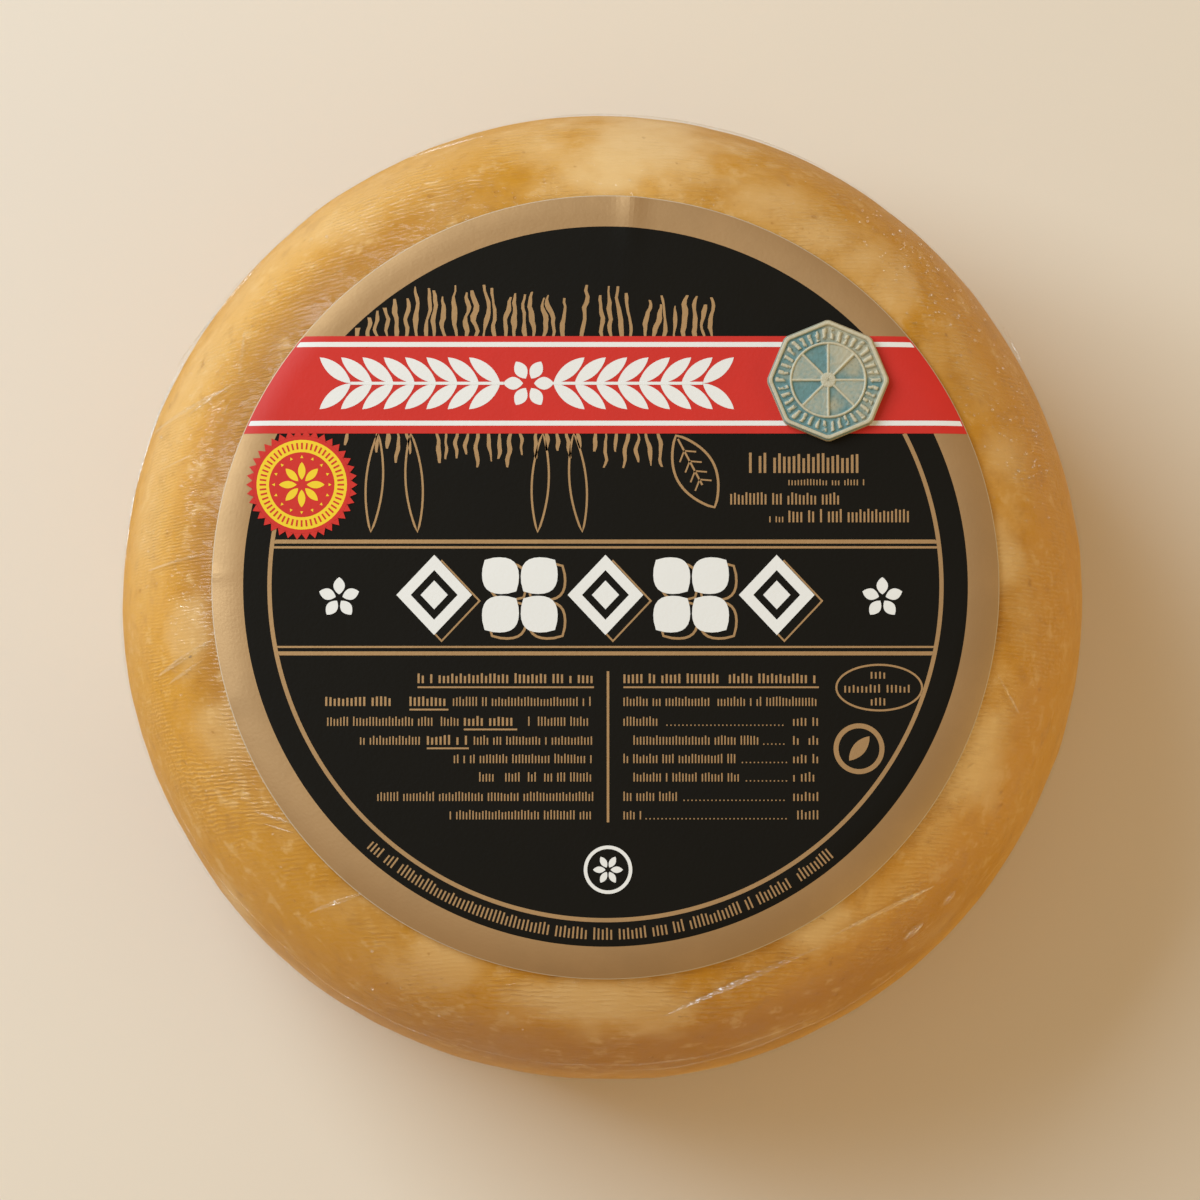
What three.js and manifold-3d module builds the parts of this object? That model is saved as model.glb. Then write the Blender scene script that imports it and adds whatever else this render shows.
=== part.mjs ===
// A cured cheese wheel in clear shrink film, with a round paper label on its face and an octagonal casein
// plaque on the label. Millimetres, +Z up. The origin is on the resting plane, under the middle of the wheel.
import * as THREE from "three";
import { mergeVertices } from "three/addons/utils/BufferGeometryUtils.js";
import Module from "manifold-3d";

// Cheese: a flat base and face, widest at the belt, with a rounded heel below and a rounded shoulder above.
const WHEEL_DIAMETER = 200;
const WHEEL_HEIGHT = 95;
const BELT_HEIGHT = 45; // from the cheese's base to its widest point
const HEEL_WIDTH = 20; // from the edge of the flat base out to the belt
const HEEL_POWER = 2.5; // 2 is an ellipse, more is squarer
const SHOULDER_WIDTH = 28; // from the belt in to the edge of the flat face
const SHOULDER_POWER = 2.2;

// Shrink film: it hugs the wheel on every side and ends in a round opening under the wheel.
const FILM_CLEARANCE = 0.3;
const FILM_THICKNESS = 0.3;
const FILM_OPENING_RADIUS = 25;

// Face label: a paper disc stuck on the film, lapping over the edge of the flat face.
const LABEL_CLEARANCE = 0.3;
const LABEL_THICKNESS = 0.3;
const LABEL_SHOULDER_LAP = 7.2; // how far the disc reaches past the flat face
const LABEL_SHIFT = new THREE.Vector2(0.6, -2.7); // from the middle of the wheel

// Casein plaque: a pressed octagon with a raised rim, a ring, a hub and spokes.
const PLAQUE_CLEARANCE = 0.3;
const PLAQUE_CORNER_RADIUS = 12.4;
const PLAQUE_THICKNESS = 1.6;
const PLAQUE_EDGE_INSET = 18.3; // from the label's edge to the plaque's middle
const PLAQUE_BEARING = THREE.MathUtils.degToRad(42.6); // round the label, from +X
const PLAQUE_CHAMFER = 0.4;
const PLAQUE_RIM_WIDTH = 1.1;
const PLAQUE_FIELD_DEPTH = 0.5;
const PLAQUE_RING_RADIUS = 8;
const PLAQUE_RING_WIDTH = 0.7;
const PLAQUE_HUB_RADIUS = 1.6;
const PLAQUE_SPOKES = 8;
const PLAQUE_SPOKE_WIDTH = 0.7;
const PLAQUE_RELIEF_ROOT = 0.2; // how deep the ring, hub and spokes are rooted in the field

// Facets
const ROUND_SEGMENTS = 72;
const EDGE_STEPS = 8; // along the heel, and again along the shoulder
const LABEL_BEND_STEPS = 5; // across the part of the label that bends down over the shoulder
const PLAQUE_ROUND_SEGMENTS = 40;

// Heights and radii that follow from the sizes above.
const FILM_GROWTH = FILM_CLEARANCE + FILM_THICKNESS;
const CHEESE_BASE_Z = FILM_GROWTH;
const BELT_Z = CHEESE_BASE_Z + BELT_HEIGHT;
const CHEESE_TOP_Z = CHEESE_BASE_Z + WHEEL_HEIGHT;
const BELT_RADIUS = WHEEL_DIAMETER / 2;
const FACE_FLAT_RADIUS = BELT_RADIUS - SHOULDER_WIDTH;
const LABEL_RADIUS = FACE_FLAT_RADIUS + LABEL_SHOULDER_LAP;
const LABEL_TOP_Z = CHEESE_TOP_Z + FILM_GROWTH + LABEL_CLEARANCE + LABEL_THICKNESS;

const wasm = await Module();
wasm.setup();

const wheel = new THREE.Group();

// Adds a geometry to the wheel as a named mesh of its own material.
function addPart(name, geometry, look) {
  const mesh = new THREE.Mesh(geometry, new THREE.MeshStandardMaterial(look));
  mesh.name = name;
  wheel.add(mesh);
  return mesh;
}

// Turns a profile of [radius, height] points round the Z axis.
function latheZ(profile, segments) {
  const points = profile.map(([radius, height]) => new THREE.Vector2(radius, height));
  return new THREE.LatheGeometry(points, segments).rotateX(Math.PI / 2);
}

// Half of the wheel's section, from the middle of its base round to the middle of its face, with every
// surface moved outward by growth.
function wheelSection(growth) {
  const heel = HEEL_WIDTH + growth;
  const shoulder = SHOULDER_WIDTH + growth;
  const below = BELT_HEIGHT + growth;
  const above = WHEEL_HEIGHT - BELT_HEIGHT + growth;
  const section = [[0, BELT_Z - below]];
  for (let i = 0; i <= EDGE_STEPS; i++) {
    const angle = (i / EDGE_STEPS) * (Math.PI / 2);
    const out = Math.sin(angle) ** (2 / HEEL_POWER);
    const down = i === EDGE_STEPS ? 0 : Math.cos(angle) ** (2 / HEEL_POWER);
    section.push([BELT_RADIUS - HEEL_WIDTH + heel * out, BELT_Z - below * down]);
  }
  for (let i = 1; i <= EDGE_STEPS; i++) {
    const angle = (i / EDGE_STEPS) * (Math.PI / 2);
    const out = i === EDGE_STEPS ? 0 : Math.cos(angle) ** (2 / SHOULDER_POWER);
    const up = Math.sin(angle) ** (2 / SHOULDER_POWER);
    section.push([FACE_FLAT_RADIUS + shoulder * out, BELT_Z + above * up]);
  }
  section.push([0, BELT_Z + above]);
  return section;
}

// The height of the film's outside at a distance from the wheel's axis, on the face and the shoulder.
function filmHeight(distance) {
  const above = CHEESE_TOP_Z - BELT_Z + FILM_GROWTH;
  const past = Math.max(0, distance - FACE_FLAT_RADIUS) / (SHOULDER_WIDTH + FILM_GROWTH);
  return BELT_Z + above * (1 - past ** SHOULDER_POWER) ** (1 / SHOULDER_POWER);
}

// A closed three.js geometry as a manifold-3d solid, and a solid back as a geometry.
function toSolid(geometry) {
  const bare = geometry.clone();
  bare.deleteAttribute("normal");
  bare.deleteAttribute("uv");
  const merged = mergeVertices(bare, 1e-4);
  const vertProperties = new Float32Array(merged.attributes.position.array);
  const triVerts = new Uint32Array(merged.index.array);
  return new wasm.Manifold(new wasm.Mesh({ numProp: 3, vertProperties, triVerts }));
}

function toGeometry(solid) {
  const { vertProperties, triVerts } = solid.getMesh();
  const geometry = new THREE.BufferGeometry();
  geometry.setAttribute("position", new THREE.BufferAttribute(vertProperties, 3));
  geometry.setIndex(new THREE.BufferAttribute(triVerts, 1));
  geometry.computeVertexNormals();
  return geometry;
}

function addCheese() {
  const geometry = latheZ(wheelSection(0), ROUND_SEGMENTS);
  addPart("cheese_wheel", geometry, { color: 0xc78f42, roughness: 0.5, metalness: 0 });
}

function addFilm() {
  const underside = [[FILM_OPENING_RADIUS, CHEESE_BASE_Z - FILM_CLEARANCE]];
  const inside = underside.concat(wheelSection(FILM_CLEARANCE).slice(1));
  const outside = wheelSection(FILM_GROWTH).slice(1);
  const profile = [...inside.reverse(), [FILM_OPENING_RADIUS, CHEESE_BASE_Z - FILM_GROWTH], ...outside];
  const look = { color: 0xfff6e8, roughness: 0.1, metalness: 0, transparent: true, opacity: 0.15 };
  addPart("clear_film", latheZ(profile, ROUND_SEGMENTS), look);
}

// The disc is turned flat, then each of its corners is laid down on the film.
function addLabel() {
  const flatRadius = FACE_FLAT_RADIUS - LABEL_SHIFT.length();
  const rings = [0];
  for (let i = 0; i <= LABEL_BEND_STEPS; i++) {
    rings.push(flatRadius + ((LABEL_RADIUS - flatRadius) * i) / LABEL_BEND_STEPS);
  }
  const under = rings.map((radius) => [radius, LABEL_CLEARANCE]);
  const over = rings.map((radius) => [radius, LABEL_CLEARANCE + LABEL_THICKNESS]);
  const geometry = latheZ([...under, ...over.reverse()], ROUND_SEGMENTS);
  geometry.translate(LABEL_SHIFT.x, LABEL_SHIFT.y, 0);
  const position = geometry.attributes.position;
  for (let i = 0; i < position.count; i++) {
    const distance = Math.hypot(position.getX(i), position.getY(i));
    position.setZ(i, position.getZ(i) + filmHeight(distance));
  }
  geometry.computeVertexNormals();
  addPart("face_label", geometry, { color: 0x1b1812, roughness: 0.55, metalness: 0 });
}

// The octagon has a corner towards +Y. Its ring, hub and spokes stand on the field as high as its rim.
function addPlaque() {
  const fieldZ = PLAQUE_THICKNESS - PLAQUE_FIELD_DEPTH;
  const rimInside = PLAQUE_CORNER_RADIUS - PLAQUE_RIM_WIDTH;
  const body = latheZ(
    [
      [0, 0],
      [PLAQUE_CORNER_RADIUS, 0],
      [PLAQUE_CORNER_RADIUS, PLAQUE_THICKNESS - PLAQUE_CHAMFER],
      [PLAQUE_CORNER_RADIUS - PLAQUE_CHAMFER, PLAQUE_THICKNESS],
      [rimInside, PLAQUE_THICKNESS],
      [rimInside - PLAQUE_CHAMFER, fieldZ],
      [0, fieldZ],
    ],
    8,
  );
  const rootZ = fieldZ - PLAQUE_RELIEF_ROOT;
  const reliefHeight = PLAQUE_THICKNESS - rootZ;
  const ringInside = PLAQUE_RING_RADIUS - PLAQUE_RING_WIDTH / 2;
  const ringOutside = PLAQUE_RING_RADIUS + PLAQUE_RING_WIDTH / 2;
  const ringCorners = [
    [ringInside, rootZ],
    [ringOutside, rootZ],
    [ringOutside, PLAQUE_THICKNESS],
    [ringInside, PLAQUE_THICKNESS],
    [ringInside, rootZ],
  ];
  const hubCorners = [
    [0, rootZ],
    [PLAQUE_HUB_RADIUS, rootZ],
    [PLAQUE_HUB_RADIUS, PLAQUE_THICKNESS],
    [0, PLAQUE_THICKNESS],
  ];
  let solid = toSolid(body);
  solid = solid.add(toSolid(latheZ(ringCorners, PLAQUE_ROUND_SEGMENTS)));
  solid = solid.add(toSolid(latheZ(hubCorners, PLAQUE_ROUND_SEGMENTS)));
  for (let i = 0; i < PLAQUE_SPOKES; i++) {
    const spoke = new THREE.BoxGeometry(PLAQUE_RING_RADIUS, PLAQUE_SPOKE_WIDTH, reliefHeight);
    spoke.translate(PLAQUE_RING_RADIUS / 2, 0, rootZ + reliefHeight / 2);
    spoke.rotateZ((i / PLAQUE_SPOKES) * 2 * Math.PI);
    solid = solid.add(toSolid(spoke));
  }
  const look = { color: 0xa9b5a2, roughness: 0.7, metalness: 0 };
  const plaque = addPart("casein_plaque", toGeometry(solid), look);
  const reach = LABEL_RADIUS - PLAQUE_EDGE_INSET;
  const x = LABEL_SHIFT.x + reach * Math.cos(PLAQUE_BEARING);
  const y = LABEL_SHIFT.y + reach * Math.sin(PLAQUE_BEARING);
  plaque.position.set(x, y, LABEL_TOP_Z + PLAQUE_CLEARANCE);
}

addCheese();
addFilm();
addLabel();
addPlaque();

export default wheel;
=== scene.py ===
import math

import bpy
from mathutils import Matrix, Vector


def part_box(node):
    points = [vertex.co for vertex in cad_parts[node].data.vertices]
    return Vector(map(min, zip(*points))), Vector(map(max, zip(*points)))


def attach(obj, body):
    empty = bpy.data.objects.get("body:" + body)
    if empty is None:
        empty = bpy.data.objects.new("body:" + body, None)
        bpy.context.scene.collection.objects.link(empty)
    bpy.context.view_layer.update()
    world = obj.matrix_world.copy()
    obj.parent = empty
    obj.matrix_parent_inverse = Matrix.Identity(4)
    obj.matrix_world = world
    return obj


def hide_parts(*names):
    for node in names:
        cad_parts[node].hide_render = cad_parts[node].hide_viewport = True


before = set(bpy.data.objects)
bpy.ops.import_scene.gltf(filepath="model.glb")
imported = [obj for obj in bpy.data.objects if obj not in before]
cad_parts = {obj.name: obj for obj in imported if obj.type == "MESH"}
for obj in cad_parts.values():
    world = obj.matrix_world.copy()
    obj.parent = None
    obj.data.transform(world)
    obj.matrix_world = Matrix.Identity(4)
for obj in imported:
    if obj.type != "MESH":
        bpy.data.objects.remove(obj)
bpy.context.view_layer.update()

MM = 0.001

# ---- Camera ----
# A long lens almost straight above the wheel, tipped a little towards its lower edge.

CAMERA_DISTANCE = 1500 * MM
CAMERA_ELEVATION = math.radians(83.7)
CAMERA_LENS = 217.1
CAMERA_AIM = Vector((-0.5, -0.7, 50)) * MM

camera = bpy.data.objects.new("camera", bpy.data.cameras.new("camera"))
bpy.context.collection.objects.link(camera)
away = Vector((0, -math.cos(CAMERA_ELEVATION), math.sin(CAMERA_ELEVATION)))
camera.location = CAMERA_AIM + away * CAMERA_DISTANCE
camera.rotation_euler = (-away).to_track_quat("-Z", "Y").to_euler()
camera.data.lens = CAMERA_LENS
camera.data.sensor_width = 36
camera.data.clip_end = 20
bpy.context.scene.camera = camera


# ---- Floor and light ----
# A plain pale floor, one big soft light high on the upper left, a small bright one low on the left that
# glints on the film, a warm one low on the right, and a warm dim room all round.

FLOOR_SIZE = 8.0
FLOOR_COLOUR = (0.82, 0.74, 0.63, 1)
FLOOR_ROUGHNESS = 0.9
ROOM_COLOUR = (1.0, 0.74, 0.48, 1)
ROOM_STRENGTH = 0.45
COOL_WHITE = (0.76, 0.91, 1.03)
WARM_WHITE = (1.0, 0.87, 0.38)

# Each lamp's name, watts, width in metres, colour, bearing and elevation in degrees, and distance in metres.
LAMPS = [
    ("key_light", 14.6, 0.9, COOL_WHITE, 146, 47, 1.35),
    ("glint_light", 2.1, 0.17, COOL_WHITE, 158, 13, 1.2),
    ("fill_light", 5.6, 1.2, WARM_WHITE, -24, 15, 1.4),
]


def add_lamp(name, watts, size, colour, bearing, elevation, distance):
    """A square soft light that faces the middle of the wheel."""
    light = bpy.data.lights.new(name, "AREA")
    light.energy, light.size, light.color = watts, size, colour
    holder = bpy.data.objects.new(name, light)
    bpy.context.collection.objects.link(holder)
    bearing, elevation = math.radians(bearing), math.radians(elevation)
    flat = math.cos(elevation)
    towards = Vector((flat * math.cos(bearing), flat * math.sin(bearing), math.sin(elevation)))
    holder.location = towards * distance
    holder.rotation_euler = towards.to_track_quat("Z", "Y").to_euler()


for lamp in LAMPS:
    add_lamp(*lamp)

room = bpy.data.worlds.new("room")
room.use_nodes = True
room_light = room.node_tree.nodes["Background"]
room_light.inputs["Color"].default_value = ROOM_COLOUR
room_light.inputs["Strength"].default_value = ROOM_STRENGTH
bpy.context.scene.world = room
bpy.context.scene.view_settings.view_transform = "Standard"

half = FLOOR_SIZE / 2
floor_mesh = bpy.data.meshes.new("floor")
floor_corners = [(-half, -half, 0), (half, -half, 0), (half, half, 0), (-half, half, 0)]
floor_mesh.from_pydata(floor_corners, [], [(0, 1, 2, 3)])
floor = bpy.data.objects.new("floor", floor_mesh)
bpy.context.collection.objects.link(floor)
floor_paint = bpy.data.materials.new("floor_paint")
floor_paint.use_nodes = True
floor_shader = floor_paint.node_tree.nodes["Principled BSDF"]
floor_shader.inputs["Base Color"].default_value = FLOOR_COLOUR
floor_shader.inputs["Roughness"].default_value = FLOOR_ROUGHNESS
floor_mesh.materials.append(floor_paint)


# ---- The cheese ----
# One pressed and cured wheel of sheep's-milk cheese. Its rind is the honey-coloured outside of the same
# piece, printed with the fine ridges of the press cloth and marked by milky spots.


class Wire:
    """One socket of a node tree, so that sums on it can be written as Python expressions."""

    def __init__(self, tree, socket):
        self.tree, self.socket = tree, socket

    def math(self, operation, *others):
        return self.tree.sum_of(operation, self, *others)

    def __add__(self, other):
        return self.math("ADD", other)

    def __sub__(self, other):
        return self.math("SUBTRACT", other)

    def __rsub__(self, other):
        return self.tree.sum_of("SUBTRACT", other, self)

    def __mul__(self, other):
        return self.math("MULTIPLY", other)

    def __truediv__(self, other):
        return self.math("DIVIDE", other)

    def __rtruediv__(self, other):
        return self.tree.sum_of("DIVIDE", other, self)

    def __pow__(self, other):
        return self.math("POWER", other)

    __radd__, __rmul__ = __add__, __mul__

    def ramp(self, low, high):
        """0 below low, 1 above high and a smooth rise between them; it falls if low is above high."""
        sockets = {"Value": self, "From Min": low, "From Max": high}
        return self.tree.node("ShaderNodeMapRange", {"interpolation_type": "SMOOTHSTEP"}, sockets)

    def clamp(self):
        return self.math("MAXIMUM", 0.0).math("MINIMUM", 1.0)


class Tree:
    """A node tree under construction."""

    def __init__(self, tree):
        self.tree = tree

    def node(self, kind, settings=None, sockets=None, out=0):
        """Adds a node: its settings first, then the values or links of its sockets. Gives one output."""
        made = self.tree.nodes.new(kind)
        for name, value in (settings or {}).items():
            setattr(made, name, value)
        for key, value in (sockets or {}).items():
            if isinstance(value, Wire):
                self.tree.links.new(value.socket, made.inputs[key])
            else:
                made.inputs[key].default_value = value
        return Wire(self, made.outputs[out])

    def sum_of(self, operation, *terms):
        return self.node("ShaderNodeMath", {"operation": operation}, dict(enumerate(terms)))

    def split(self, vector):
        """The three parts of a vector."""
        first = self.node("ShaderNodeSeparateXYZ", None, {0: vector})
        return [Wire(self, first.socket.node.outputs[i]) for i in range(3)]

    def join(self, x, y, z):
        return self.node("ShaderNodeCombineXYZ", None, {0: x, 1: y, 2: z})

    def mix(self, factor, low, high):
        """A blend of two colours."""
        return self.node("ShaderNodeMix", {"data_type": "RGBA"}, {0: factor, 6: low, 7: high}, 2)

    def noise(self, place, scale, detail=2.0, rough=0.5):
        """Soft noise from 0 to 1 about 0.5, with scale in cells per metre."""
        sockets = {"Vector": place, "Scale": scale, "Detail": detail, "Roughness": rough}
        return self.node("ShaderNodeTexNoise", None, sockets)


class Finish(Tree):
    """A material under construction; shade() completes it."""

    def __init__(self, name):
        self.material = bpy.data.materials.new(name)
        self.material.use_nodes = True
        self.material.node_tree.nodes.clear()
        super().__init__(self.material.node_tree)
        self.place = self.node("ShaderNodeTexCoord", None, None, "Object")
        self.x, self.y, self.z = self.split(self.place)

    def bump(self, height, distance):
        sockets = {"Height": height, "Distance": distance, "Strength": 1.0}
        return self.node("ShaderNodeBump", None, sockets)

    def shade(self, sockets):
        shader = self.node("ShaderNodeBsdfPrincipled", None, sockets)
        surface = self.tree.nodes.new("ShaderNodeOutputMaterial").inputs["Surface"]
        self.tree.links.new(shader.socket, surface)
        return self.material


class Growth(Tree):
    """A Geometry Nodes tree with named inputs, given as their first values."""

    KINDS = {float: "NodeSocketFloat", int: "NodeSocketInt"}

    def __init__(self, name, **inputs):
        group = bpy.data.node_groups.new(name, "GeometryNodeTree")
        super().__init__(group)
        group.interface.new_socket("Geometry", in_out="INPUT", socket_type="NodeSocketGeometry")
        group.interface.new_socket("Finish", in_out="INPUT", socket_type="NodeSocketMaterial")
        for key, value in inputs.items():
            socket = group.interface.new_socket(key, in_out="INPUT", socket_type=self.KINDS[type(value)])
            socket.default_value = value
        group.interface.new_socket("Geometry", in_out="OUTPUT", socket_type="NodeSocketGeometry")
        self.given = group.nodes.new("NodeGroupInput")

    def __getitem__(self, key):
        return Wire(self, self.given.outputs[key])

    def position(self):
        return self.node("GeometryNodeInputPosition")

    def moved(self, geometry, **how):
        return self.node("GeometryNodeSetPosition", None, {"Geometry": geometry, **how})

    def smooth(self, geometry):
        return self.node("GeometryNodeSetShadeSmooth", None, {"Geometry": geometry})

    def close(self, geometry):
        """Ends the tree: what it made becomes real mesh and takes the finish."""
        real = self.node("GeometryNodeRealizeInstances", None, {0: geometry})
        done = self.node("GeometryNodeSetMaterial", None, {"Geometry": real, "Material": self["Finish"]})
        self.tree.links.new(done.socket, self.tree.nodes.new("NodeGroupOutput").inputs[0])

    def grow(self, finish, start=None, **values):
        """Runs the tree on a starting mesh and gives back the result as a plain mesh."""
        carrier = bpy.data.objects.new("carrier", start or bpy.data.meshes.new("start"))
        bpy.context.collection.objects.link(carrier)
        modifier = carrier.modifiers.new("growth", "NODES")
        modifier.node_group = self.tree
        for item in self.tree.interface.items_tree:
            if item.in_out == "INPUT" and item.name in values:
                modifier[item.identifier] = values[item.name]
            elif item.name == "Finish":
                modifier[item.identifier] = finish
        mesh = bpy.data.meshes.new_from_object(carrier.evaluated_get(bpy.context.evaluated_depsgraph_get()))
        bpy.data.objects.remove(carrier)
        return mesh


def add_piece(name, mesh, slot, *nodes):
    """Puts a finished mesh in the wheel as a piece that rides on its one body."""
    mesh.name = name
    piece = bpy.data.objects.new(name, mesh)
    bpy.context.collection.objects.link(piece)
    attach(piece, "root")
    if nodes:
        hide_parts(*nodes)
    return piece


# The section: a flat base and face, widest at the belt, with a rounded heel and shoulder.
low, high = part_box("cheese_wheel")
BELT_RADIUS = (high.x - low.x) / 2
BASE_Z = low.z
FACE_Z = high.z
BELT_HEIGHT = 45 * MM
BELT_Z = BASE_Z + BELT_HEIGHT
HEEL_WIDTH = 20 * MM
HEEL_POWER = 2.5
SHOULDER_WIDTH = 28 * MM
SHOULDER_POWER = 2.2
HOLLOWS = 0.9 * MM
FACE_FLAT_RADIUS = BELT_RADIUS - SHOULDER_WIDTH
BASE_FLAT_RADIUS = BELT_RADIUS - HEEL_WIDTH

# Shares of the rows of the skin that go to the base, heel, shoulder and face.
HEEL_FROM, SHOULDER_FROM, FACE_FROM = 0.1, 0.4, 0.84


def grid_to_turn(tree):
    """A grid to bend round an axis: its mesh, its place, and each corner's column, bearing and row."""
    size = {"Size X": 1.0, "Size Y": 1.0, "Vertices X": tree["Columns"], "Vertices Y": tree["Rows"]}
    grid = tree.node("GeometryNodeMeshGrid", None, size)
    place = tree.position()
    across, up, _ = tree.split(place)
    return grid, place, across, (across + 0.5) * (2 * math.pi), up + 0.5


def wheel_skin():
    """A closed skin round the wheel, a set growth outside the cheese, with its hollows and its wrinkles."""
    tree = Growth("wheel_skin", Columns=3, Rows=3, Growth=0.0, Opening=0.0, Hollows=0.0, Wrinkles=0.0)
    grid, place, _, bearing, row = grid_to_turn(tree)
    base = (row / HEEL_FROM).clamp()
    heel = ((row - HEEL_FROM) / (SHOULDER_FROM - HEEL_FROM)).clamp() * (math.pi / 2)
    shoulder = ((row - SHOULDER_FROM) / (FACE_FROM - SHOULDER_FROM)).clamp() * (math.pi / 2)
    face = ((row - FACE_FROM) / (1 - FACE_FROM)).clamp()
    growth = tree["Growth"]
    heel_out = heel.math("SINE").clamp() ** (2 / HEEL_POWER)
    heel_down = heel.math("COSINE").clamp() ** (2 / HEEL_POWER)
    shoulder_out = shoulder.math("COSINE").clamp() ** (2 / SHOULDER_POWER)
    shoulder_up = shoulder.math("SINE").clamp() ** (2 / SHOULDER_POWER)
    radius = base * BASE_FLAT_RADIUS + heel_out * (growth + HEEL_WIDTH)
    radius = radius - (1 - shoulder_out) * (growth + SHOULDER_WIDTH) - face * FACE_FLAT_RADIUS
    radius = radius.math("MAXIMUM", (1 - face.math("CEIL")) * tree["Opening"])
    height = BELT_Z - heel_down * (growth + (BELT_Z - BASE_Z)) + shoulder_up * (growth + (FACE_Z - BELT_Z))
    turned = tree.join(radius * bearing.math("COSINE"), radius * bearing.math("SINE"), height)
    skin = tree.moved(grid, Position=turned)
    skin = tree.node("GeometryNodeMergeByDistance", None, {"Geometry": skin, "Distance": 0.01 * MM})
    # Hollows fade out on the face, where the press plate was, and on the base.
    x, y, z = tree.split(place)
    out = (x * x + y * y) ** 0.5
    pressed = out.ramp(FACE_FLAT_RADIUS, BELT_RADIUS - 8 * MM) * z.ramp(BASE_Z, BASE_Z + 12 * MM)
    broad = tree.noise(place, 14.0, 1.0)
    small = tree.noise(place, 70.0, 2.0)
    hollow = (broad * 0.75 + small * 0.25).ramp(0.72, 0.3) * pressed * tree["Hollows"]
    # Wrinkles are sharp crests that run round the side.
    crest = tree.noise(tree.join(x * 1.0, y * 1.0, z * 9.0), 26.0, 1.0)
    crest = 1 - ((crest - 0.5).math("ABSOLUTE") * 9.0).clamp()
    patch = tree.noise(place, 18.0, 0.0).ramp(0.45, 0.6)
    side = out.ramp(BELT_RADIUS - 9 * MM, BELT_RADIUS - 3 * MM)
    wrinkle = crest * crest * patch * side * tree["Wrinkles"]
    normal = tree.node("GeometryNodeInputNormal")
    sockets = {"Vector": normal, "Scale": wrinkle - hollow}
    push = tree.node("ShaderNodeVectorMath", {"operation": "SCALE"}, sockets)
    skin = tree.moved(skin, Offset=push)
    tree.close(tree.smooth(skin))
    return tree


CLOTH_PITCH = 0.88 * MM


def cloth_ridges(finish):
    """The press cloth's ridges, 0 to 1: nearly straight across the face and shoulder, and round the side."""
    x, y, z = finish.x, finish.y, finish.z
    out = (x * x + y * y) ** 0.5
    sway = finish.noise(finish.place, 22.0, 2.0) - 0.5
    lean = (x * -1.0).ramp(-0.02, 0.08) * y.ramp(-0.03, 0.05) * 0.2
    jog = finish.noise(finish.join(x * 1.0, y * 2.0, z * 2.0), 210.0, 2.0) - 0.5
    across = (y - x * lean + sway * (5 * MM) + jog * (1.1 * MM)) * (2 * math.pi / CLOTH_PITCH)
    around = (z + sway * (4 * MM) + jog * (1.1 * MM)) * (2 * math.pi / CLOTH_PITCH)
    threads = finish.noise(finish.join(x * 1.5, y * 3.0, z * 3.0), 300.0, 2.0).ramp(0.38, 0.6)
    worn = finish.noise(finish.place, 60.0, 2.0).ramp(0.44, 0.6)
    on_top = out.ramp(BELT_RADIUS - 1.5 * MM, BELT_RADIUS - 9 * MM)
    top = (across.math("SINE") * 0.5 + 0.5) * on_top
    side = (around.math("SINE") * 0.5 + 0.5) * (1 - on_top) * 0.75
    return (top + side) * (threads * 0.85 + 0.15) * (worn * 0.78 + 0.22)


RIND_HONEY = (0.64, 0.31, 0.035, 1)
RIND_AMBER = (0.62, 0.285, 0.005, 1)
RIND_BROWN = (0.40, 0.17, 0.025, 1)
RIND_CREAM = (0.81, 0.55, 0.25, 1)
# Painted shade for the low side at the front, away from the key light.
RIND_PAINTED_SHADE = (0.37, 0.135, 0.003, 1)

# Milky spots, one of them partly a painted glint: how far right and up of the wheel's middle, their width and
# height in millimetres, and how strongly each shows.
MILKY_SPOTS_AND_GLINT = [
    (9, 89, 17, 12, 0.95),
    (34, 75, 9, 4.5, 0.45),
    (45.5, 69, 9, 4.5, 0.45),
    (53.5, 64, 7, 5, 0.45),
    (59, 59, 5, 7, 0.5),
    (81, 24, 5, 5, 0.5),
    (80, 2, 4, 7, 0.6),
    (75, -38, 7, 9, 0.75),
    (42, -71, 8, 5, 0.9),
    # Partly a milky spot and partly a painted highlight, where a fold of the film glints low at the front.
    (0, -87, 16, 5, 0.8),
    (-34, -77, 11, 6, 0.5),
    (-83, -12, 5, 7, 0.45),
    (-76, -32, 6, 8, 0.4),
    (-52, 71, 8, 5, 0.3),
    (-12, 88, 9, 5, 0.5),
]


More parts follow.
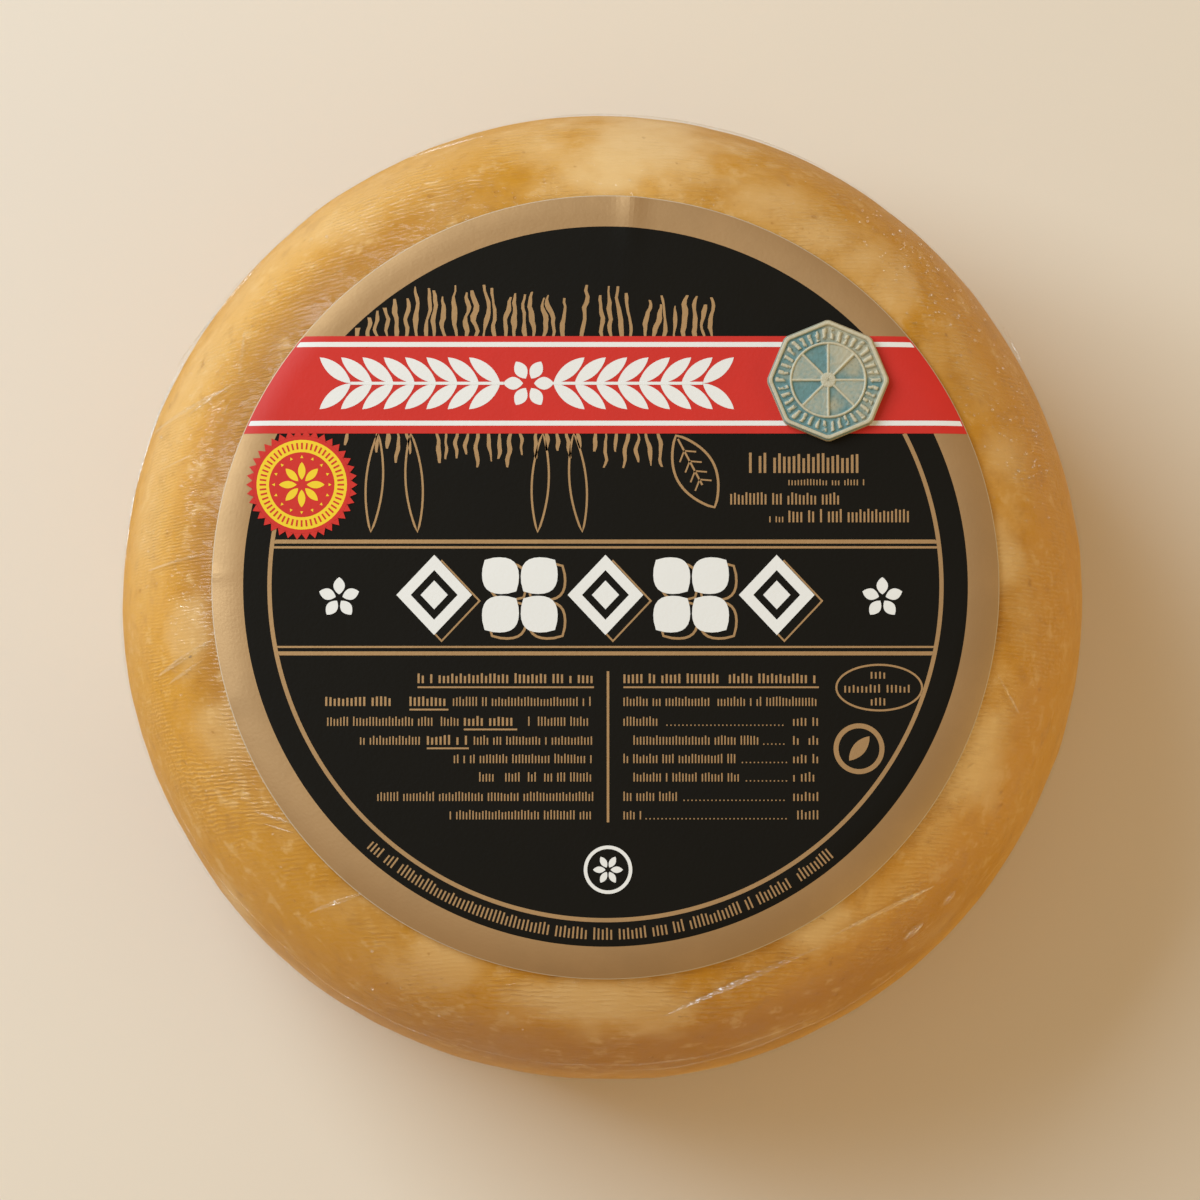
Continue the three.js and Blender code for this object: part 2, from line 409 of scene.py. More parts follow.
def make_rind():
    finish = Finish("rind")
    x, y, z, place = finish.x, finish.y, finish.z, finish.place
    out = (x * x + y * y) ** 0.5
    ridges = cloth_ridges(finish)
    cloudy = finish.noise(place, 38.0, 3.0, 0.6)
    broad = finish.noise(place, 16.0, 2.0)
    # The cheese is deepest in colour low on the shoulder and browner where the label meets it. The back left
    # quarter is paler with a painted sheen, and the front is darkest with painted shade.
    deep = (out + (cloudy - 0.5) * (9 * MM)).ramp(86 * MM, 93 * MM) * out.ramp(100.8 * MM, 97 * MM) * 0.72
    amber = (broad.ramp(0.46, 0.62) * 0.5 + deep + cloudy.ramp(0.45, 0.7) * 0.3).clamp()
    colour = finish.mix(amber, RIND_HONEY, RIND_AMBER)
    left = (y * 0.26 - x * 0.97).ramp(15 * MM, 80 * MM)
    rim = finish.noise(place, 30.0, 2.0).ramp(0.42, 0.65) * 0.4 * (1 - left) + left * 0.85
    colour = finish.mix(out.ramp(90 * MM, 80 * MM) * rim, colour, RIND_BROWN)
    # Painted sheen: the outer shoulder on the back left, which faces the key light, is made paler and
    # creamier.
    painted_sheen = out.ramp(85 * MM, 92 * MM) * z.ramp(60 * MM, 78 * MM) * (cloudy * 0.5 + 0.2)
    painted_sheen = painted_sheen * (y * 0.6 - x * 0.8).ramp(50 * MM, 95 * MM)
    colour = finish.mix(painted_sheen, colour, RIND_CREAM)
    # Painted shade: the low side at the front, away from the key light, is darkened to a deeper brown.
    front = (x * 0.22 - y * 0.97).ramp(60 * MM, 92 * MM) * out.ramp(89 * MM, 95 * MM)
    colour = finish.mix(front * z.ramp(50 * MM, 66 * MM) * 0.55, colour, RIND_PAINTED_SHADE)
    pale = out.ramp(91 * MM, 84 * MM) * finish.noise(place, 55.0, 3.0, 0.6).ramp(0.38, 0.62) * 0.3
    colour = finish.mix(pale * (1 - left * 0.8), colour, RIND_CREAM)
    edge_noise = finish.noise(place, 90.0, 2.0) - 0.5
    # Paler cream where the milky spots are; the one low at the front is partly a painted highlight.
    milky_and_glint = None
    for right, above, wide, tall, strength in MILKY_SPOTS_AND_GLINT:
        across = (x - right * MM) / (wide * MM)
        along = (y - above * MM) / (tall * MM)
        spot = ((across * across + along * along) ** 0.5 + edge_noise * 1.9).ramp(1.45, 0.35) * strength
        milky_and_glint = spot if milky_and_glint is None else milky_and_glint.math("MAXIMUM", spot)
    milky_and_glint = milky_and_glint * z.ramp(60 * MM, 75 * MM)
    stray = finish.noise(place, 27.0, 1.0).ramp(0.58, 0.78) * z.ramp(75 * MM, 60 * MM) * 0.7
    colour = finish.mix(milky_and_glint.math("MAXIMUM", stray), colour, RIND_CREAM)
    mottle = finish.noise(place, 210.0, 4.0, 0.65)
    colour = finish.mix(mottle.ramp(0.5, 0.7) * (0.28 - milky_and_glint * 0.28), colour, RIND_BROWN)
    colour = finish.mix(mottle.ramp(0.46, 0.3) * 0.35, colour, RIND_CREAM)
    colour = finish.mix(ridges * (out.ramp(80 * MM, 88 * MM) * 0.13 + 0.1), colour, RIND_CREAM)
    speck = finish.noise(place, 420.0, 1.0).ramp(0.73, 0.78)
    colour = finish.mix(speck * 0.35, colour, RIND_BROWN)
    grain = finish.noise(place, 900.0, 3.0)
    relief = ridges * 0.75 + grain * 0.12 - speck * 0.4
    sockets = {
        "Base Color": colour,
        "Roughness": cloudy * 0.2 + 0.36,
        "Specular IOR Level": 0.05,
        "Normal": finish.bump(relief, 0.18 * MM),
    }
    return finish.shade(sockets)


skin = wheel_skin()
rind = skin.grow(make_rind(), Columns=481, Rows=121, Hollows=HOLLOWS)
add_piece("cheese", rind, "rind", "cheese_wheel")


# ---- Shrink film ----
# Thin clear film, shrunk on with hot air. It clings to the cloth ridges and runs into sharp creases where it
# had too much slack, and a few tiny bubbles are caught under it.

FILM_GROWTH = 0.45 * MM
FILM_THICKNESS = 0.12 * MM
FILM_WRINKLES = 0.15 * MM
FILM_OPENING = 25 * MM
BUBBLES_PER_SQUARE_METRE = 240000.0
BUBBLE_RADIUS = 0.4 * MM

# Creases that run straight over the shoulder: from and to, right and up of the wheel's middle, and their half
# width, all in millimetres.
CREASES = [
    ((46, -73), (67, -62.5), 0.6),
    ((12, -89), (44, -75), 0.75),
    ((-59, -68), (-46, -64), 0.7),
    ((-90, -20), (-78, -13.5), 0.8),
    ((-88, -22), (-80, -17.5), 0.4),
    ((-70, -48), (-61, -51), 0.65),
    ((-68, -50.5), (-62, -52.5), 0.35),
    ((-92, 1.5), (-79, 4), 0.45),
    ((-92, 31), (-72, 39.5), 0.5),
    ((-73.5, 39), (-72.5, 50), 0.4),
    ((-84, 33), (-75, 38.5), 0.3),
    ((-90, 22), (-81, 25), 0.25),
    ((-88, 46), (-70, 66), 0.3),
    ((69, -66), (71.5, -63), 0.9),
    ((61, -73), (65, -69.5), 0.8),
    ((79, -20), (84, -28), 0.35),
    ((82, 55), (86, 46), 0.4),
    ((-40, 88), (-24, 92), 0.35),
]

# Creases that run round the edge: bearings in degrees, distance from the wheel's middle and half width.
RIM_CREASES = [
    (-158, -128, 98.2, 0.12),
    (-132, -104, 98.6, 0.15),
    (-112, -62, 98.0, 0.2),
    (-90, -50, 99.0, 0.2),
    (150, 178, 97.6, 0.2),
    (62, 96, 98.0, 0.2),
]


def film_point(x, y, growth):
    """A point of a skin round the shoulder or face, straight above x, y."""
    out = min(math.hypot(x, y), BELT_RADIUS)
    past = max(0.0, out - FACE_FLAT_RADIUS) / (SHOULDER_WIDTH + growth)
    up = (1 - past**SHOULDER_POWER) ** (1 / SHOULDER_POWER)
    return Vector((x, y, BELT_Z + (FACE_Z - BELT_Z + growth) * up))


def crease_sweep():
    """A bead of film along each line of a mesh, as thick as its lines say and pinched off at both ends."""
    tree = Growth("creases", Steps=24, Sides=10)
    line = tree.node("GeometryNodeMeshToCurve", None, {"Mesh": tree["Geometry"]})
    line = tree.node("GeometryNodeResampleCurve", None, {"Curve": line, "Count": tree["Steps"]})
    width = tree.node("GeometryNodeInputNamedAttribute", {"data_type": "FLOAT"}, {"Name": "half_width"})
    along = tree.node("GeometryNodeSplineParameter", None, None, "Factor")
    taper = (along * math.pi).math("SINE").clamp() ** 0.7
    flutter = tree.noise(tree.position(), 260.0, 1.0) + 0.5
    sockets = {"Resolution": tree["Sides"], "Radius": 1.0}
    ring = tree.node("GeometryNodeCurvePrimitiveCircle", {"mode": "RADIUS"}, sockets)
    half_width = width * taper * flutter * 0.75 + 0.02 * MM
    sockets = {"Curve": line, "Profile Curve": ring, "Scale": half_width, "Fill Caps": True}
    swept = tree.node("GeometryNodeCurveToMesh", None, sockets)
    tree.close(tree.smooth(swept))
    return tree


def make_film(name, shine, haze, rough):
    """Clear film: it mirrors a share of what it faces, more at a glancing angle, and veils what it covers."""
    finish = Finish(name)
    slack = finish.noise(finish.place, 75.0, 2.0)
    rucks = finish.noise(finish.join(finish.x * 1.0, finish.y * 3.0, finish.z * 3.0), 190.0, 3.0)
    pips = finish.noise(finish.place, 430.0, 1.0).ramp(0.6, 0.74)
    relief = cloth_ridges(finish) * 0.9 + slack * 3.0 + rucks * 1.6 + pips * 0.7
    normal = finish.bump(relief, 0.25 * MM)
    # It is clearest where the label's edge holds it flat.
    held = (finish.x * finish.x + finish.y * finish.y).ramp((82 * MM) ** 2, (90 * MM) ** 2) * 0.6 + 0.4
    facing = finish.node("ShaderNodeLayerWeight", None, {"Blend": 0.5, "Normal": normal}, "Facing")
    sockets = {
        "Base Color": (1.0, 0.985, 0.96, 1),
        "Metallic": 1.0,
        "Roughness": finish.noise(finish.place, 50.0, 2.0) * 0.14 + rough,
        "Alpha": facing**5.0 * 0.02 + (slack.ramp(0.35, 0.7) * haze + shine) * held,
        "Normal": normal,
    }
    return finish.shade(sockets)


def film_creases():
    """The creases' middle lines as a mesh of loose edges, each corner with its half width."""
    corners, edges, widths = [], [], []
    lines = []
    for (x0, y0), (x1, y1), width in CREASES:
        lines.append(([(x0 + (x1 - x0) * i / 12, y0 + (y1 - y0) * i / 12) for i in range(13)], width))
    for start, end, radius, width in RIM_CREASES:
        line = []
        for i in range(41):
            bearing = math.radians(start + (end - start) * i / 40)
            wave = 0.12 * math.sin(bearing * 17) + 0.08 * math.sin(bearing * 37 + start)
            line.append(((radius + wave) * math.cos(bearing), (radius + wave) * math.sin(bearing)))
        lines.append((line, width))
    for line, width in lines:
        first = len(corners)
        corners += [film_point(x * MM, y * MM, FILM_GROWTH) for x, y in line]
        widths += [width * MM] * len(line)
        edges += [(first + i, first + i + 1) for i in range(len(line) - 1)]
    mesh = bpy.data.meshes.new("crease_lines")
    mesh.from_pydata(corners, edges, [])
    mesh.attributes.new("half_width", "FLOAT", "POINT").data.foreach_set("value", widths)
    return mesh


def film_bubbles():
    """Tiny bubbles caught under the film, thickest on the upper right of the shoulder."""
    tree = Growth("bubbles", Density=0.0, Size=0.0, Seed=0)
    x, y, z = tree.split(tree.position())
    patch = x.ramp(45 * MM, 62 * MM) * y.ramp(8 * MM, 25 * MM) + 0.03
    patch = patch * z.ramp(72 * MM, 82 * MM) * (x * x + y * y).ramp((79 * MM) ** 2, (81 * MM) ** 2)
    sockets = {"Mesh": tree["Geometry"], "Density": patch * tree["Density"], "Seed": tree["Seed"]}
    spots = tree.node("GeometryNodeDistributePointsOnFaces", None, sockets)
    ball = tree.node("GeometryNodeMeshUVSphere", None, {"Segments": 8, "Rings": 5, "Radius": 1.0})
    ball = tree.smooth(ball)
    sockets = {2: 0.3, 3: 1.0, "Seed": tree["Seed"]}
    size = tree.node("FunctionNodeRandomValue", {"data_type": "FLOAT"}, sockets, 1) ** 2.0 * tree["Size"]
    sockets = {"Points": spots, "Instance": ball, "Scale": size}
    tree.close(tree.node("GeometryNodeInstanceOnPoints", None, sockets))
    return tree


film_finish = make_film("film", 0.024, 0.014, 0.06)
fold_finish = make_film("film_fold", 0.09, 0.1, 0.12)
film_skin = skin.grow(
    film_finish,
    Columns=401,
    Rows=105,
    Growth=FILM_GROWTH,
    Opening=FILM_OPENING,
    Hollows=HOLLOWS,
    Wrinkles=FILM_WRINKLES,
)
film = add_piece("film_wrap", film_skin, "film", "clear_film")
wall = film.modifiers.new("film_wall", "SOLIDIFY")
wall.thickness, wall.offset = FILM_THICKNESS, -1
creases = crease_sweep().grow(fold_finish, film_creases())
add_piece("film_creases", creases, "film")
bubbles = film_bubbles().grow(
    fold_finish,
    film_skin.copy(),
    Density=BUBBLES_PER_SQUARE_METRE,
    Size=BUBBLE_RADIUS,
    Seed=4,
)
add_piece("film_bubbles", bubbles, "film")


# ---- Paper label ----
# A round black label with a broad gold edge, pressed down on the film. It laps over the edge of the face,
# where the paper bends and puckers a little. Its bare edge and back are pale.

low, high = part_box("face_label")
LABEL_X, LABEL_Y = (low.x + high.x) / 2, (low.y + high.y) / 2
LABEL_RADIUS = (high.x - low.x) / 2
EDGE = LABEL_RADIUS / MM
LABEL_GROWTH = 0.75 * MM
PAPER_THICKNESS = 0.18 * MM
GOLD_EDGE_FROM = 72.8
BEND_FROM = 68

# Puckers at the label's edge: bearing in degrees, then half width, how far in they reach and how high they
# stand, in millimetres.
PUCKERS = [
    (86, 2.4, 15, 0.42),
    (178.5, 1.5, 7, 0.16),
    (197, 2.5, 7, 0.1),
    (228, 2.5, 6, 0.1),
    (312, 3.0, 8, 0.15),
]


def on_label(right, above, lift=0.0):
    """The point of the paper's face at a place given in millimetres from the label's middle."""
    x, y = LABEL_X + right * MM, LABEL_Y + above * MM
    point = film_point(x, y, LABEL_GROWTH)
    out, bearing = math.hypot(right, above), math.degrees(math.atan2(above, right))
    for where, width, reach, rise in PUCKERS:
        aside = math.radians((bearing - where + 180) % 360 - 180) * out
        inward = max(0.0, 1 - (EDGE - out) / reach)
        point.z += rise * MM * math.exp(-((aside / width) ** 2)) * inward**1.5
    point.z += lift
    return point


def make_paper(name, colour, rough, metallic=0.0, mottle=0.0, gloss=0.4):
    """Coated paper or an ink on it: a flat colour with a faint cloudiness, over the paper's fine grain."""
    finish = Finish(name)
    grain = finish.noise(finish.place, 1500.0, 3.0)
    cloud = finish.noise(finish.place, 60.0, 4.0, 0.6)
    shade = tuple(part * 0.8 for part in colour[:3]) + (1,)
    blotch = (cloud.ramp(0.3, 0.7) * mottle).clamp()
    sockets = {
        "Base Color": finish.mix(blotch, colour, shade),
        "Metallic": metallic,
        "Roughness": cloud * 0.12 + (rough - 0.06),
        "Specular IOR Level": gloss,
        "Normal": finish.bump(grain + cloud * 2.0, 0.03 * MM),
    }
    return finish.shade(sockets)


black_paper = make_paper("label_black", (0.0075, 0.0068, 0.005, 1), 0.4, mottle=0.6, gloss=0.12)
bare_paper = make_paper("label_back", (0.62, 0.50, 0.36, 1), 0.7)


def make_label():
    """The disc of paper: a black face, a bare edge and a bare back."""
    columns, flat_rings, bent_rings = 480, 8, 28
    rings = flat_rings + bent_rings
    corners, faces = [on_label(0, 0)], []
    # Rings lie closer together where the paper bends.
    flat, bent = BEND_FROM / flat_rings, (EDGE - BEND_FROM) / bent_rings
    radii = [flat * i for i in range(flat_rings + 1)]
    radii += [BEND_FROM + bent * i for i in range(1, bent_rings + 1)]
    for side, lift in ((1, 0.0), (-1, -PAPER_THICKNESS)):
        for ring in range(1, rings + 1) if side > 0 else range(rings, 0, -1):
            out = radii[ring]
            for column in range(columns):
                angle = 2 * math.pi * column / columns
                corners.append(on_label(out * math.cos(angle), out * math.sin(angle), lift))
    corners.append(on_label(0, 0, -PAPER_THICKNESS))
    for column in range(columns):
        beside = (column + 1) % columns
        faces.append((0, 1 + column, 1 + beside))
        for row in range(2 * rings - 1):
            inner, outer = 1 + row * columns, 1 + (row + 1) * columns
            faces.append((inner + column, outer + column, outer + beside, inner + beside))
        last = 1 + (2 * rings - 1) * columns
        faces.append((last + column, len(corners) - 1, last + beside))
    mesh = bpy.data.meshes.new("label")
    mesh.from_pydata(corners, [], faces)
    mesh.materials.append(black_paper)
    mesh.materials.append(bare_paper)
    # The last ring of the face is bare paper, like the edge and the back.
    rows = 2 * rings + 1
    backs = [0 if i % rows < rings - 1 else 1 for i in range(len(faces))]
    mesh.polygons.foreach_set("material_index", backs)
    mesh.polygons.foreach_set("use_smooth", [True] * len(faces))
    return mesh


add_piece("label_paper", make_label(), "label_paper", "face_label")


# ---- Label print: edge, band, rules and ring ----
# Printed inks, each a very thin closed layer on the paper: a broad gold edge, a red band right across with
# two white lines, a thin gold ring below the band, and two pairs of gold rules.

INK_LIFT = 0.045 * MM
INK_THICKNESS = 0.04 * MM


class Ink:
    """Flat shapes of one ink, in millimetres from the label's middle, laid on the paper together."""

    def __init__(self):
        self.corners, self.faces = [], []

    def shape(self, outline):
        """One flat outline, counter-clockwise."""
        first = len(self.corners)
        self.corners += outline
        self.faces.append(tuple(range(first, first + len(outline))))

    def strip(self, near, far, rows=1):
        """The stretch between two lines of as many points, far being on the left of near's direction."""
        first, count = len(self.corners), len(near)
        for row in range(rows + 1):
            t = row / rows
            self.corners += [(a[0] + (b[0] - a[0]) * t, a[1] + (b[1] - a[1]) * t) for a, b in zip(near, far)]
        for row in range(rows):
            for i in range(count - 1):
                here = first + row * count + i
                self.faces.append((here, here + 1, here + count + 1, here + count))

    def line(self, points, width, closed=False):
        """A line of even width through the points."""
        if closed:
            points = points[-1:] + points + points[:2]
        near, far = [], []
        for i in range(1, len(points) - 1) if closed else range(len(points)):
            before, after = points[max(0, i - 1)], points[min(len(points) - 1, i + 1)]
            along = Vector((after[0] - before[0], after[1] - before[1])).normalized() * (width / 2)
            near.append((points[i][0] + along.y, points[i][1] - along.x))
            far.append((points[i][0] - along.y, points[i][1] + along.x))
        self.strip(near, far)

    def ring(self, radius, width, first=0.0, last=360.0, x=0.0, y=0.0, rows=1, step=0.75):
        """A ring or an arc of a ring, its radius at its middle and its angles in degrees."""
        count = max(8, round((last - first) / step * max(radius, 20) / 70))
        inner, outer = [], []
        for i in range(count + 1):
            angle = math.radians(first + (last - first) * i / count)
            cos, sin = math.cos(angle), math.sin(angle)
            inner.append((x + (radius - width / 2) * cos, y + (radius - width / 2) * sin))
            outer.append((x + (radius + width / 2) * cos, y + (radius + width / 2) * sin))
        self.strip(outer, inner, rows)

    def add(self, mesh, x=0.0, y=0.0, within=math.inf):
        """The shapes of a flat mesh, moved, as far as they lie within a distance from the label's middle."""
        first = len(self.corners)
        self.corners += [(corner.co.x / MM + x, corner.co.y / MM + y) for corner in mesh.vertices]
        for face in mesh.polygons:
            if all(math.hypot(*self.corners[first + i]) < within for i in face.vertices):
                self.faces.append(tuple(first + i for i in face.vertices))

    def flat(self):
        """The shapes as a flat mesh, to be copied."""
        mesh = bpy.data.meshes.new("flat")
        mesh.from_pydata([(x * MM, y * MM, 0) for x, y in self.corners], [], self.faces)
        return mesh

    def lay(self, name, ink, layer=1):
        """Lays the shapes on the paper as a thin closed layer, higher than the inks printed before it."""
        mesh = bpy.data.meshes.new(name)
        lift = INK_LIFT * layer
        used = sorted({i for face in self.faces for i in face})
        place = {old: new for new, old in enumerate(used)}
        faces = [tuple(place[i] for i in face) for face in self.faces]
        mesh.from_pydata([on_label(*self.corners[i], lift) for i in used], [], faces)
        mesh.materials.append(ink)
        piece = add_piece(name, mesh, "label_paper")
        body = piece.modifiers.new("ink_body", "SOLIDIFY")
        body.thickness, body.offset = INK_THICKNESS, -1


def across_disc(ink, bottom, top, radius, rows=1, columns=72):
    """A straight band from edge to edge of a disc."""
    reach = math.sqrt(radius**2 - min(abs(bottom), abs(top)) ** 2)
    near, far = [], []
    for i in range(columns + 1):
        # Steps shorten towards the ends, where the band follows the disc's edge.
        x = reach * math.sin(math.pi * (i / columns - 0.5))
        edge = math.sqrt(max(0.0, radius**2 - x**2))
        near.append((x, max(bottom, -edge)))
        far.append((x, min(top, edge)))
    ink.strip(near, far, rows)


BARE_EDGE = 0.16
BAND_BOTTOM, BAND_TOP = 30.6, 50.4
BAND_LINES = [(32.2, 33.2), (48.2, 49.2)]
RING_RADIUS, RING_WIDTH = 67.5, 0.85
RULES = [(8.3, 9.1), (7.3, 7.75), (-12.8, -12.4), (-14.3, -13.5)]

gold_ink = make_paper("label_gold", (0.48, 0.30, 0.142, 1), 0.5, 0.6, mottle=0.5, gloss=0.3)
red_ink = make_paper("label_red", (0.66, 0.03, 0.02, 1), 0.45, mottle=0.35, gloss=0.3)
white_ink = make_paper("label_white", (0.86, 0.87, 0.86, 1), 0.5, mottle=0.15)

edge = Ink()
edge.ring((EDGE - BARE_EDGE + GOLD_EDGE_FROM) / 2, EDGE - BARE_EDGE - GOLD_EDGE_FROM, rows=9)
ring_end = math.degrees(math.asin(BAND_BOTTOM / RING_RADIUS))
edge.ring(RING_RADIUS, RING_WIDTH, -180 - ring_end, ring_end)
for bottom, top in RULES:
    across_disc(edge, bottom, top, RING_RADIUS - RING_WIDTH / 2)
edge.lay("gold_edge", gold_ink, 1)

band = Ink()
across_disc(band, BAND_BOTTOM, BAND_TOP, EDGE - BARE_EDGE, rows=24, columns=160)
band.lay("red_band", red_ink, 2)

lines = Ink()
for bottom, top in BAND_LINES:
    across_disc(lines, bottom, top, EDGE - 0.4, columns=160)
lines.lay("band_lines", white_ink, 3)


# ---- Label print: rows of strokes ----
# Gold strokes that stand in for lettering and a drawing: blades of grass above and below the band, leaf
# outlines, and rows of plain ticks for the small print. They are one thin layer of ink.


def row_of_items():
    """Copies of one flat shape in a row, some left out, each tilted, stretched and made wavy at random."""
    tree = Growth("row_of_items", Count=2, Step=0.0, Gaps=0.0, Least=1.0, Tilt=0.0, Wobble=0.0, Seed=0)
    offset = tree.join(tree["Step"], 0.0, 0.0)
    spots = tree.node("GeometryNodeMeshLine", None, {"Count": tree["Count"], "Offset": offset})

    def chance(low, high, extra):
        sockets = {2: low, 3: high, "Seed": tree["Seed"] + extra}
        return tree.node("FunctionNodeRandomValue", {"data_type": "FLOAT"}, sockets, 1)

    sockets = {0: chance(0.0, 1.0, 11), 1: tree["Gaps"]}
    missing = tree.node("FunctionNodeCompare", {"operation": "LESS_THAN"}, sockets)
    spots = tree.node("GeometryNodeDeleteGeometry", None, {"Geometry": spots, "Selection": missing})
    tilt = tree.join(0.0, 0.0, chance(tree["Tilt"] * -1.0, tree["Tilt"], 23))
    stretch = tree.join(1.0, chance(tree["Least"], 1.0, 37), 1.0)
    sockets = {"Points": spots, "Instance": tree["Geometry"], "Rotation": tilt, "Scale": stretch}
    row = tree.node("GeometryNodeInstanceOnPoints", None, sockets)
    row = tree.node("GeometryNodeRealizeInstances", None, {0: row})
    place = tree.position()
    x, y, _ = tree.split(place)
    wave = tree.noise(tree.join(x * 1.0, y * 1.0, tree["Seed"] * 1.0), 230.0, 1.0) - 0.5
    tree.close(tree.moved(row, Offset=tree.join(wave * tree["Wobble"], 0.0, 0.0)))
    return tree


def flat_shape(*outlines):
    """A flat mesh of outlines given in millimetres."""
    made = Ink()
    for outline in outlines:
        made.shape(outline)
    return made.flat()


def oblong(left, bottom, right, top):
    return [(left, bottom), (right, bottom), (right, top), (left, top)]


def blade(length, width, steps=9):
    """A stroke that widens from its root and ends in a rounded tip."""
    made = Ink()
    near, far = [], []
    for i in range(steps + 1):
        t = i / steps
        half = width / 2 * (0.35 + 0.65 * math.sin(math.pi * min(0.98, 0.12 + 0.88 * t)) ** 0.6)
        near.append((half, length * t))
        far.append((-half, length * t))
    made.strip(near, far)
    return made.flat()


def leaf(length, width, turn=0.0, x=0.0, y=0.0, steps=10):
    """The outline of a pointed leaf that grows from x, y in the direction turn, in degrees from upright."""
    sides = []
    for i in range(steps + 1):
        t = i / steps
        sides.append((width / 2 * math.sin(math.pi * t) ** 0.8, length * t))
    sides += [(-across, along) for across, along in sides[-2:0:-1]]
    sin, cos = math.sin(math.radians(turn)), math.cos(math.radians(turn))
    return [(x + across * cos + along * sin, y - across * sin + along * cos) for across, along in sides]


rows = row_of_items()
stroke_seed = 0
strokes = Ink()


def put_row(ink, item, left, above, right, step, flip=1, within=math.inf, **values):
    """A row of items that stand on a line, or hang from it with flip -1, as far as it stays within a
    distance from the label's middle."""
    global stroke_seed
    stroke_seed += 1
    count = max(1, round((right - left) / step))
    if "Tilt" in values:
        values["Tilt"] = math.radians(values["Tilt"])
    row = rows.grow(None, item.copy(), Count=count, Step=step * MM, Seed=stroke_seed, **values)
    if flip < 0:
        for corner in row.vertices:
            corner.co.y *= -1
        row.flip_normals()
    ink.add(row, left, above, within)


# Grass: a dense row of blades stands on the band and a sparser one hangs below it. Each stretch is from, to
# and its blades' length.
STANDING_GRASS = [(-54, -44, 6.5), (-44, -30, 10.5), (-30, 8, 10.8), (8, 23, 8.5)]
HANGING_GRASS = [(-52, -49, 4.0), (-46, -37, 6.5), (-34, -16, 7.6), (-14, -3, 5.2), (-2, 13, 7.8)]
dense = {"Least": 0.7, "Tilt": 6, "Wobble": 3.0 * MM, "Gaps": 0.02}
sparse = {"Least": 0.45, "Tilt": 7, "Wobble": 2.4 * MM, "Gaps": 0.05}
for left, right, length in STANDING_GRASS:
    put_row(strokes, blade(length, 0.9), left, BAND_TOP, right, 1.95, within=GOLD_EDGE_FROM - 0.2, **dense)
for left, right, length in HANGING_GRASS:
    put_row(strokes, blade(length, 0.75), left, BAND_BOTTOM, right, 2.1, -1, **sparse)

# Long drooping leaves in outline, and one broad leaf with veins.
for x, turn in [(-45.8, 184), (-39.2, 176), (-12.6, 183), (-6.4, 175)]:
    strokes.line(leaf(20, 3.4, turn, x, BAND_BOTTOM, 16), 0.42, closed=True)
ROOT_X, ROOT_Y = 14.2, 30.2
strokes.line(leaf(16.5, 8.0, 152, ROOT_X, ROOT_Y, 18), 0.5, closed=True)
strokes.line([(ROOT_X + 6.2 * t, ROOT_Y - 11.8 * t) for t in (0.06, 0.4, 0.85)], 0.4)
for t in (0.25, 0.42, 0.58, 0.72):
    x, y = ROOT_X + 6.6 * t, ROOT_Y - 12.4 * t
    strokes.line([(x, y), (x + 2.4, y - 0.2)], 0.32)
    strokes.line([(x, y), (x - 0.9, y - 2.3)], 0.32)

# Small print: each line is from, to and its height above the middle, then its strokes' height and weight.
PLAIN, BOLD = (1.9, 0.27), (2.0, 0.42)
SMALL_PRINT = [
    (-37.7, -2.3, -19.9, BOLD),
    (-56.2, -43.0, -24.5, BOLD),
    (-39.3, -31.5, -24.5, BOLD),
    (-30.6, -2.3, -24.5, PLAIN),
    (-55.8, -29.2, -28.5, PLAIN),
    (-28.4, -17.7, -28.5, BOLD),
    (-16.8, -2.3, -28.5, PLAIN),
    (-49.2, -36.6, -32.3, PLAIN),
    (-35.8, -27.4, -32.3, BOLD),
    (-26.4, -2.3, -32.3, PLAIN),
    (-30.4, -2.3, -36.0, PLAIN),
    (-25.3, -2.3, -39.7, PLAIN),
    (-45.7, -2.3, -43.6, PLAIN),
    (-31.2, -2.3, -47.3, PLAIN),
    (3.6, 42.8, -19.9, BOLD),
    (3.6, 42.4, -24.5, PLAIN),
    (3.6, 11.6, -28.5, PLAIN),
    (5.6, 31.0, -32.3, PLAIN),
    (3.6, 26.6, -36.0, PLAIN),
    (5.6, 27.4, -39.7, PLAIN),
    (3.6, 14.8, -43.6, PLAIN),
    (3.6, 7.2, -47.3, PLAIN),
    (28.9, 51.4, 22.6, (4.2, 0.52)),
    (36.8, 52.6, 20.1, (1.3, 0.25)),
    (25.1, 47.1, 16.2, (2.5, 0.36)),
    (32.3, 36.0, 12.6, (1.5, 0.26)),
    (36.8, 61.7, 12.6, (2.8, 0.38)),
]
UNDERLINES = [
    (-37.7, -2.3, -20.9),
    (-39.3, -31.5, -25.4),
    (-28.4, -17.7, -29.4),
    (-35.8, -27.4, -33.2),
    (3.6, 42.8, -20.9),
]
LEADERS = [(12.2, -28.5), (31.6, -32.3), (27.3, -36.0), (28.1, -39.7), (15.6, -43.6), (8.0, -47.3)]

for left, right, above, (tall, weight) in SMALL_PRINT:
    tick = flat_shape(oblong(0, 0, weight, tall))
    put_row(strokes, tick, left, above, right, weight * 1.3 + 0.3, Least=0.7, Gaps=0.12)
for left, right, above in UNDERLINES:
    strokes.shape(oblong(left, above, right, above + 0.35))
dot = flat_shape(oblong(0, 0, 0.26, 0.26))
tick = flat_shape(oblong(0, 0, 0.3, 1.9))
for left, above in LEADERS:
    put_row(strokes, dot, left, above, 36.6, 0.8)
    put_row(strokes, tick, 37.6, above, 42.8, 0.78, Least=0.66, Gaps=0.2)
strokes.shape(oblong(0.25, -47.9, 0.75, -17.5))

